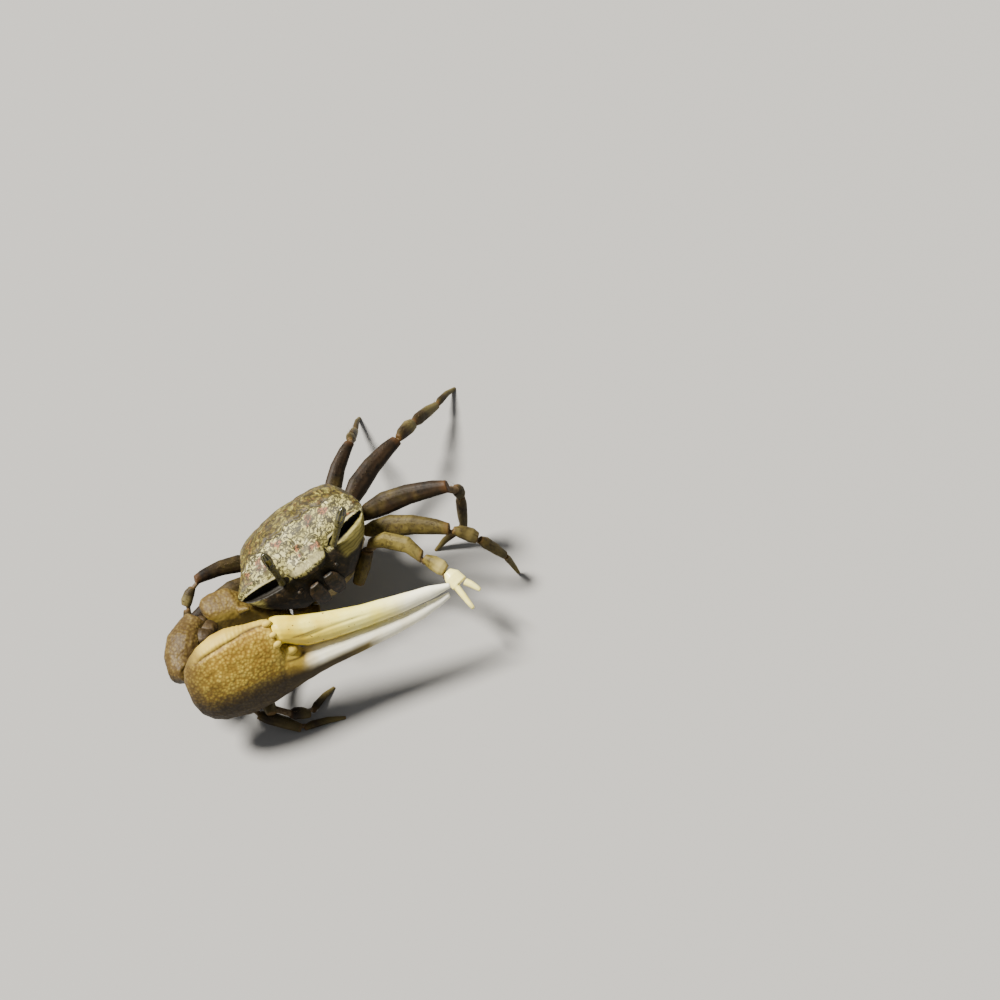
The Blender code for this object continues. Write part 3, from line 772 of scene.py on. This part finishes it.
def build_palm(material):
    """Palm with its fixed finger, which turns from ochre to ivory."""
    piece = grow("major_palm", "great_palm", palm_relief)
    points = mesh_points(piece.data)
    s, p, n = to_claw(points).T
    wobble = fractal(points * 0.45, 3, 4) - 0.5
    upper = smoothstep(14.2, 17.4, s + 2 * wobble) * smoothstep(-3.3, -2.3, p - 0.04 * (s - 15))
    paint(piece, "ivory", np.maximum(upper, smoothstep(22.0, 26.0, s + 3 * wobble)))
    crease = p - palm_crease(s)
    line = bell(crease, 0.12) * crease_length(s)
    # painted shadow: a dark band under the hinge lobe, joined with the crease line
    shadow_under_lobe = bell(p + 0.75 + 0.20 * (s - 13.5), 0.16)
    shadow_under_lobe *= smoothstep(12.2, 13.0, s) * smoothstep(15.6, 14.8, s)
    paint(piece, "line", 0.85 * np.maximum(line, shadow_under_lobe) * smoothstep(0.0, 0.6, n))
    paint(piece, "granule", 0.85 * smoothstep(14.5, 11.0, s + 2 * wobble) * smoothstep(-0.3, 0.1, -crease))
    inner = smoothstep(0.2, -0.9, n) * smoothstep(15.0, 11.0, s)
    heel = 0.85 * smoothstep(4.6, 0.8, s + 2.0 * wobble)
    paint(piece, "inner", np.maximum(0.7 * inner, heel))
    # painted shade over the palm's own darker lower edge, strongest low on the palm and the fixed finger
    onward = np.clip(s - 3, 0, 16)
    start = 0.8 - 0.16 * onward
    end = -3.6 + 0.05 * onward
    low = smoothstep(start, end, p + 1.2 * wobble) * smoothstep(30.0, 19.0, s + 2.0 * wobble)
    paint(piece, "low", 0.94 * low)
    # hinge lobe, knobs and upper margin: paler ochre of their own, brightened as painted highlight
    lobe = bell(s - 13.4, 1.0) * bell(p - 0.2, 0.9)
    knob = bell(s - 12.0, 0.6) * np.maximum(bell(p - 4.2, 0.7), bell(p - 2.0, 0.6))
    margin = 0.35 * smoothstep(0.1, 0.5, crease) * smoothstep(1.5, 4.0, s)
    pale_and_highlight = np.maximum(np.maximum(lobe, knob), margin)
    paint(piece, "pale_and_highlight", 0.70 * pale_and_highlight * smoothstep(0.0, 0.8, n))
    dress(piece, material)


def dactyl_relief(points):
    """A shallow channel along the near half of the moving finger."""
    s, p, n = to_claw(points).T
    channel = bell(p - 1.9 + 0.075 * (s - 14), 0.22) * smoothstep(15.0, 16.5, s)
    channel *= smoothstep(26.0, 22.0, s) * smoothstep(0.2, 0.8, n)
    return 0.08 * (fractal(points * 0.7, 3, 6) - 0.5) - 0.10 * channel


def build_claw_dactyl(material):
    """Moving finger, yellow at its root and white at its tip."""
    piece = grow("major_dactyl", "great_dactyl", dactyl_relief)
    points = mesh_points(piece.data)
    s, p, n = to_claw(points).T
    wobble = fractal(points * 0.5, 3, 8) - 0.5
    paint(piece, "root", smoothstep(24.0, 14.5, s + 6 * wobble + 0.8 * p))
    paint(piece, "cream", smoothstep(33.0, 24.0, s + 4 * wobble))
    paint(piece, "fleck", smoothstep(13.0, 15.0, s) * smoothstep(25.0, 20.0, s))
    line = bell(p - 2.3 + 0.08 * (s - 14), 0.12) * smoothstep(14.0, 14.8, s)
    paint(piece, "line", 0.8 * line * smoothstep(19.0, 17.0, s) * smoothstep(0.0, 0.8, n))
    dress(piece, material)


def arm_relief(points):
    return 0.060 * grains(points, 0.50, 3) + 0.07 * (fractal(points * 0.6, 3, 1) - 0.5)


def build_claw_arm(node, material):
    """Wrist or arm of the great claw: brown and granular, with painted highlight on its upward faces and
    painted shade on its downward ones.
    """
    piece = grow(node, "great_arm", arm_relief, 60)
    points = mesh_points(piece.data)
    normals = mesh_normals(piece.data)
    wobble = fractal(points * 0.7, 3, 12) - 0.5
    paint(piece, "ivory", 0)
    paint(piece, "line", 0)
    upper = smoothstep(0.45, 0.85, normals[:, 2] + 0.3 * wobble)
    if node == "major_carpus":
        away = normals @ np.array(CLAW[2])
        paint(piece, "granule", 0.85)
        paint(piece, "inner", 0.92 + 0.08 * smoothstep(0.2, -0.6, away + 0.5 * wobble))
        # painted shade on the carpus's downward-facing side
        paint(piece, "low", 0.6 * smoothstep(0.6, -0.2, normals[:, 2] + wobble))
        # painted highlight on the carpus's upward faces
        paint(piece, "pale_and_highlight", 0.10 * upper)
    else:
        face = smoothstep(0.20, 0.60, -normals[:, 1] - 0.3 * normals[:, 2])
        # faces that look down get the brown and, below, painted shade
        under = smoothstep(0.1, -0.4, normals[:, 2])
        paint(piece, "granule", 0.8 * (1 - face))
        paint(piece, "inner", np.maximum(0.84 - 0.10 * face, under))
        paint(piece, "low", 0.5 * under)
        # painted highlight on the arm's upward faces and along its lit front ridge
        ridge = bell(-normals[:, 1] - 0.62, 0.16) * bell(normals[:, 2] - 0.70, 0.25)
        ridge *= smoothstep(0.4, 0.6, wobble + 0.55)
        paint(piece, "pale_and_highlight", np.maximum(0.15 * upper, 0.6 * ridge))
    dress(piece, material)
    return piece


# ---------------------------------------------------------------- legs and small claw

LEG_DARKNESS = {2: 0.45, 3: 1.00, 4: 1.05, 5: 0.95}     # of the left legs, by number
# The right legs get the dark of the rear left legs: the front right leg's olive is darkened as painted
# shade under the great claw
RIGHT_DARKNESS_WITH_SHADE = 0.95


def limb_relief(points):
    """Fine unevenness of the limbs."""
    return 0.05 * (fractal(points * 1.3, 3, 21) - 0.5)


def build_limb(node, material, darkness, pale_end, start):
    """One article of a limb; its zones run along it from the end nearer to start."""
    piece = grow(node, "limb", limb_relief)
    points = mesh_points(piece.data)
    center = points.mean(0)
    axis = np.linalg.svd(points - center, full_matrices=False)[2][0]
    if axis @ (center - np.array(start)) < 0:
        axis = -axis
    run = (points - center) @ axis
    run = (run - run.min()) / (run.max() - run.min())
    wobble = fractal(points * 0.6, 2, 31) - 0.5
    paint(piece, "dark", np.clip(darkness + 0.45 * (run - 0.5) + 0.6 * wobble, 0, 1))
    ends = np.maximum(smoothstep(0.12, 0.0, run), smoothstep(0.90, 1.0, run))
    paint(piece, "joint", ends)
    paint(piece, "pale", pale_end * smoothstep(0.25, 0.75, run + 0.3 * wobble))
    dress(piece, material)


def build_legs(material):
    """Walking legs: olive in front, darker behind, paler towards their tips."""
    for side in SIDES:
        for number, darkness in LEG_DARKNESS.items():
            start = from_body(SIDES[side] * 2, 1.5 + 2.2 * (number - 2), -7)
            for article in ARTICLES:
                node = f"leg{number}_{side}_{article}"
                shade = RIGHT_DARKNESS_WITH_SHADE if side == "right" else darkness
                if number == 2 and article in ("carpus", "propodus"):
                    shade += 0.3
                pale = 0.0
                if article in ("carpus", "propodus"):
                    pale = 0.25 if number > 3 else 0.12
                if article == "dactyl":
                    pale = 0.22
                build_limb(node, material, shade, pale, start)
                start = node_points(node).mean(0)


# ---------------------------------------------------------------- small parts

def new_piece(name, bm, material):
    """Joined small parts as one riding piece; the bmesh is in millimetres."""
    bmesh.ops.recalc_face_normals(bm, faces=bm.faces)
    bmesh.ops.scale(bm, vec=(MM, MM, MM), verts=bm.verts)
    mesh = bpy.data.meshes.new(name)
    bm.to_mesh(mesh)
    bm.free()
    mesh.shade_smooth()
    piece = bpy.data.objects.new(name, mesh)
    bpy.context.scene.collection.objects.link(piece)
    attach(piece, "root")
    dress(piece, material)
    return piece


def add_bead(bm, center, radius, stretch=None, amount=1.0):
    """Ball, finer where it is large, and stretched along a direction where one is given."""
    fineness = 2 if radius < 0.5 else 4
    made = bmesh.ops.create_icosphere(bm, subdivisions=fineness, radius=radius)["verts"]
    for vert in made:
        if stretch is not None:
            vert.co += stretch * (vert.co.dot(stretch) * (amount - 1))
        vert.co += Vector(center)


def add_tube(bm, centers, radii, count=12):
    """Closed tube through the centres."""
    loops = []
    for i, (center, radius) in enumerate(zip(centers, radii)):
        before, after = centers[max(i - 1, 0)], centers[min(i + 1, len(centers) - 1)]
        along = (after - before).normalized()
        across = along.orthogonal().normalized()
        upward = along.cross(across)
        loop = []
        for k in range(count):
            angle = 2 * math.pi * k / count
            spoke = across * (radius * math.cos(angle)) + upward * (radius * math.sin(angle))
            loop.append(bm.verts.new(center + spoke))
        loops.append(loop)
    for low, high in zip(loops, loops[1:]):
        shift = min(range(count), key=lambda k: (high[k].co - low[0].co).length)
        for k in range(count):
            a, b = (k + shift) % count, (k + 1 + shift) % count
            bm.faces.new((low[k], low[(k + 1) % count], high[b], high[a]))
    bm.faces.new(loops[0])
    bm.faces.new(loops[-1])


def facing_ends(node_a, node_b):
    """Middle and radius of the end of each node that faces the other."""
    a, b = (mesh_points(SURFACES[node].data) for node in (node_a, node_b))
    ends = []
    for here, there in ((a, b), (b, a)):
        target = there[np.argmin(np.linalg.norm(there - here.mean(0), axis=1))]
        away = np.linalg.norm(here - target, axis=1)
        near = here[away < away.min() + 0.5]
        middle = near.mean(0)
        radius = np.median(np.linalg.norm(near - middle, axis=1))
        ends.append((Vector(middle), float(radius)))
    return ends


def bridge(bm, node_a, node_b, fullness):
    """Short tube between the facing ends of two pieces."""
    (center_a, radius_a), (center_b, radius_b) = facing_ends(node_a, node_b)
    along = (center_b - center_a).normalized()
    radius = fullness * min(radius_a, radius_b)
    reach = along * SKIN_REACH
    centers = [center_a - reach, center_a, (center_a + center_b) / 2, center_b, center_b + reach]
    add_tube(bm, centers, [radius * share for share in (1, 1.05, 0.95, 1.05, 1)])


def build_eye_collars(material):
    """Narrow collar between each stalk and its eye."""
    bm = bmesh.new()
    for side in SIDES:
        bridge(bm, "eyestalk_" + side, "eye_" + side, COLLAR_FULLNESS)
    new_piece("eye_collars", bm, material)


def build_joint_skins(material):
    """Soft skin in the gaps between neighbouring articles of the limbs."""
    pairs = []
    for side in SIDES:
        for number in LEG_DARKNESS:
            stem = f"leg{number}_{side}_"
            pairs += [(stem + low, stem + high) for low, high in zip(ARTICLES, ARTICLES[1:])]
    for claw in ("major", "minor"):
        pairs += [(f"{claw}_ischium", f"{claw}_merus"), (f"{claw}_merus", f"{claw}_carpus")]
    pairs.append(("minor_carpus", "minor_palm"))
    bm = bmesh.new()
    for node_a, node_b in pairs:
        bridge(bm, node_a, node_b, JOINT_FULLNESS)
    new_piece("joint_skins", bm, material)


def build_wrist_knobs(material):
    """Blunt knobs that fill the inner corner of the great claw's wrist."""
    bm = bmesh.new()
    knobs = (((3.3, 2.1, -6.4), 1.45), ((4.0, 2.2, -7.7), 1.30), ((3.4, 3.0, -8.6), 0.85))
    for place, size in knobs:
        add_bead(bm, from_claw(*place), size, CLAW[1], 0.75)
    piece = new_piece("wrist_knobs", bm, material)
    points = mesh_points(piece.data)
    lumps = fractal(points * 0.8, 3, 43) - 0.5
    set_points(piece.data, points + 0.7 * mesh_normals(piece.data) * lumps[:, None])
    paint(piece, "inner", 1)
    # painted shade in the wrist's inner corner, varied at random
    paint(piece, "low", 0.6 + 0.8 * (fractal(points, 2, 41) - 0.5))
    paint(piece, "granule", 0.6)


def claw_face(s, p):
    """How far out the great claw's broad face stands at one place."""
    pieces = (SURFACES[node] for node in ("major_palm", "major_dactyl"))
    points = to_claw(np.vstack([mesh_points(piece.data) for piece in pieces]))
    near = points[np.hypot(points[:, 0] - s, points[:, 1] - p) < 0.4]
    return near[:, 2].max()


def build_hinge_knobs(material):
    """Half-sunk knobs of the hinge between the palm and the moving finger."""
    bm = bmesh.new()
    knobs = ((12.1, 4.9, 0.45), (PALM_END, 3.5, 0.40), (PALM_END, 2.2, 0.48), (13.5, 0.3, 0.62))
    for s, p, size in knobs:
        add_bead(bm, from_claw(s, p, claw_face(s, p) - 0.72 * size), size, CLAW[0], 1.5)
    piece = new_piece("hinge_knobs", bm, material)
    # pale knobs brightened with painted highlight
    paint(piece, "pale_and_highlight", 0.5)


def build_finger_teeth(material):
    """Rounded teeth along the gape of the great claw."""
    bm = bmesh.new()
    rng = random.Random(4)
    count = 26
    for i in range(count):
        run = GAPE_LENGTH * i / (count - 1)
        s = GAPE_START + run
        size = 0.13 + 0.06 * rng.random()
        low = -1.15 - 0.032 * min(run, 8) + 0.055 * max(s - 27, 0)
        add_bead(bm, from_claw(s, low - 0.06, 0.0), size)
        high = -0.45 + 0.012 * run
        add_bead(bm, from_claw(s + 0.3, high + 0.04, 0.0), size * 0.85)
    new_piece("finger_teeth", bm, material)


def build_orbit_beads(material):
    """Crenulated lower rim of each orbit."""
    bm = bmesh.new()
    count = 15
    for side in SIDES.values():
        for i in range(count):
            t = i / (count - 1)
            x = 3.9 + 5.1 * t
            point = from_body(side * x, -2.05 + 1.25 * t ** 2.2, -2.35 + 0.55 * t)
            add_bead(bm, point, 0.13 - 0.05 * t)
    piece = new_piece("orbit_beads", bm, material)
    # painted shade: the beads take the face's nearly black painted-shade colour
    paint(piece, "dark_face_and_shade", 1)


# ---------------------------------------------------------------- bristles

def build_bristles(material):
    """Short bristles along the edges of the walking legs, one solid spike each."""
    rng = random.Random(12)
    bm = bmesh.new()
    patch = bm.loops.layers.uv.new("OFBake")
    nodes = [
        f"leg{number}_{side}_{article}"
        for side in SIDES for number in LEG_DARKNESS for article in ARTICLES[:3]
    ]
    for index, node in enumerate(nodes):
        points = mesh_points(SURFACES[node].data)
        center = points.mean(0)
        axis = Vector(np.linalg.svd(points - center, full_matrices=False)[2][0])
        upward = (Vector((0, 0, 1)) - axis * axis.z).normalized()
        across = axis.cross(upward)
        local = (points - center) @ np.array([axis, upward, across]).T
        low, high = local.min(0), local.max(0)
        count = MERUS_BRISTLES if node.endswith("merus") else OTHER_BRISTLES
        for k in range(count):
            t = (k + rng.random()) / count
            run = low[0] + (high[0] - low[0]) * (0.06 + 0.88 * t)
            near = local[abs(local[:, 0] - run) < 0.2]
            upper = rng.random() < 0.6
            edge = near[:, 1].max() if upper else near[:, 1].min()
            sway = rng.uniform(-0.28, 0.28)
            middle = (near[:, 1].max() + near[:, 1].min()) / 2
            depth = middle + (edge - middle) * 0.86
            place = Vector(center) + axis * run + upward * depth + across * sway
            lean = axis * rng.uniform(0.3, 0.9) + across * rng.uniform(-0.35, 0.35)
            aim = ((upward if upper else -upward) + lean).normalized()
            length = rng.uniform(*BRISTLE_LENGTHS)
            if place.z + aim.z * length < FLOOR_CLEARANCE:
                continue
            # Each article has a tile of the map: its length runs across, its edges above
            # and below the tile's middle
            u = (index % TILE_COLUMNS + 0.05 + 0.9 * t) / TILE_COLUMNS
            v = (index // TILE_COLUMNS + (0.7 if upper else 0.3) + 0.2 * sway) / TILE_COLUMNS
            add_spike(bm, place, aim * length, patch, (u, v))
    new_piece("leg_bristles", bm, material)


def add_spike(bm, root, aim, patch, uv):
    """Thin three-sided spike whose root and tip share one small patch of the map."""
    across = aim.orthogonal().normalized()
    upward = aim.normalized().cross(across)
    base = []
    for k in range(3):
        angle = 2 * math.pi * k / 3
        spoke = across * (BRISTLE_RADIUS * math.cos(angle)) + upward * (BRISTLE_RADIUS * math.sin(angle))
        base.append(bm.verts.new(root + spoke))
    tip = bm.verts.new(root + aim)
    faces = [bm.faces.new((base[k], base[(k + 1) % 3], tip)) for k in range(3)]
    faces.append(bm.faces.new(base))
    corners = ((0, 0), (PATCH_SIZE, 0), (PATCH_SIZE / 2, PATCH_SIZE))
    for face in faces:
        for loop, (du, dv) in zip(face.loops, corners):
            loop[patch].uv = (uv[0] + du, uv[1] + dv)


# ---------------------------------------------------------------- studio

def build_floor():
    bm = bmesh.new()
    bmesh.ops.create_grid(bm, x_segments=1, y_segments=1, size=FLOOR_SIZE)
    mesh = bpy.data.meshes.new("floor")
    bm.to_mesh(mesh)
    bm.free()
    floor = bpy.data.objects.new("floor", mesh)
    bpy.context.scene.collection.objects.link(floor)
    paper = bpy.data.materials.new("floor_paper")
    paper.use_nodes = True
    shader = paper.node_tree.nodes["Principled BSDF"]
    shader.inputs["Base Color"].default_value = FLOOR_COLOR
    shader.inputs["Roughness"].default_value = 0.8
    mesh.materials.append(paper)


def build_light():
    """A dim even sky and one soft sun from behind, to the left of the picture."""
    world = bpy.data.worlds.new("studio")
    world.use_nodes = True
    sky = world.node_tree.nodes["Background"]
    sky.inputs["Color"].default_value = WORLD_COLOR
    sky.inputs["Strength"].default_value = WORLD_STRENGTH
    bpy.context.scene.world = world
    key = bpy.data.lights.new("key", "SUN")
    key.energy = SUN_STRENGTH
    key.angle = math.radians(SUN_ANGLE)
    key.color = SUN_COLOR
    lamp = bpy.data.objects.new("key", key)
    lamp.rotation_euler = SUN_PLACE.to_track_quat("Z", "Y").to_euler()
    bpy.context.scene.collection.objects.link(lamp)


def build_camera():
    """Camera turned about its own axis by the roll; azimuth 0 looks at the crab's face."""
    a, e, roll = (math.radians(v) for v in (CAMERA_AZIMUTH, CAMERA_ELEVATION, CAMERA_ROLL))
    back = Vector((math.sin(a) * math.cos(e), -math.cos(a) * math.cos(e), math.sin(e)))
    level = Vector((math.cos(a), math.sin(a), 0))
    plumb = back.cross(level)
    right = level * math.cos(roll) - plumb * math.sin(roll)
    upward = back.cross(right)
    camera = bpy.data.objects.new("camera", bpy.data.cameras.new("camera"))
    camera.data.lens = CAMERA_LENS
    camera.data.sensor_width = 36
    camera.data.clip_start = 0.01
    spot = CAMERA_TARGET + Vector((SHIFT.x, SHIFT.y, 0)) + back * CAMERA_DISTANCE
    turn = Matrix((right, upward, back)).transposed().to_4x4()
    camera.matrix_world = Matrix.Translation(spot * MM) @ turn
    bpy.context.scene.collection.objects.link(camera)
    bpy.context.scene.camera = camera


# ---------------------------------------------------------------- the whole crab

def build_eye(side, stalk, eye):
    """Stalk and its cap, which is striped lengthwise."""
    dress(grow("eyestalk_" + side, "eyestalk"), stalk)
    cap = grow("eye_" + side, "eye")
    points = mesh_points(cap.data)
    offset = points - points.mean(0)
    axis = np.linalg.svd(offset, full_matrices=False)[2][0]
    across = np.cross(axis, (0.0, 0.0, 1.0))
    around = np.arctan2(offset @ across, offset @ np.cross(axis, across))
    paint(cap, "stripe", 0.5 + 0.5 * np.sin(9 * around))
    dress(cap, eye)


def build_small_claw(limb, ivory):
    """Small claw: olive arm, ivory hand."""
    hip = from_body(4, -1.5, -8)
    build_limb("minor_ischium", limb, 0.5, 0.0, hip)
    build_limb("minor_merus", limb, 0.05, 0.1, hip)
    build_limb("minor_carpus", limb, 0.0, 0.75, node_points("minor_merus").mean(0))
    for node in ("minor_palm", "minor_dactyl"):
        hand = grow(node, "small_hand", limb_relief)
        for zone in ("root", "fleck", "line"):
            paint(hand, zone, 0)
        paint(hand, "cream", 0.85)
        dress(hand, ivory)


def main():
    shell = carapace_material()
    ochre = great_claw_material()
    ivory = ivory_material()
    limb = limb_material()
    under = underside_material()
    skin = membrane_material()
    stalk = eyestalk_material()
    eye = eye_material()

    build_floor()
    build_light()
    build_camera()
    build_carapace(shell)
    dress(grow("sternum", "sternum", sternum_relief), under)
    dress(grow("abdomen", "abdomen", abdomen_relief), under)
    for side in SIDES:
        for kind in ("maxilliped", "antenna"):
            plate = grow(f"{kind}_{side}", kind, plate_relief)
            # painted shade: mouthparts and antennae take the near-black colour of the dark zone
            paint(plate, "dark", 1)
            dress(plate, under)
        build_eye(side, stalk, eye)

    build_palm(ochre)
    build_claw_dactyl(ivory)
    for node in ("major_ischium", "major_merus", "major_carpus"):
        build_claw_arm(node, ochre)
    build_legs(limb)
    build_small_claw(limb, ivory)

    build_joint_skins(skin)
    build_eye_collars(stalk)
    build_wrist_knobs(ochre)
    build_hinge_knobs(ochre)
    build_finger_teeth(ivory)
    build_orbit_beads(shell)
    build_bristles(hair_material())


main()
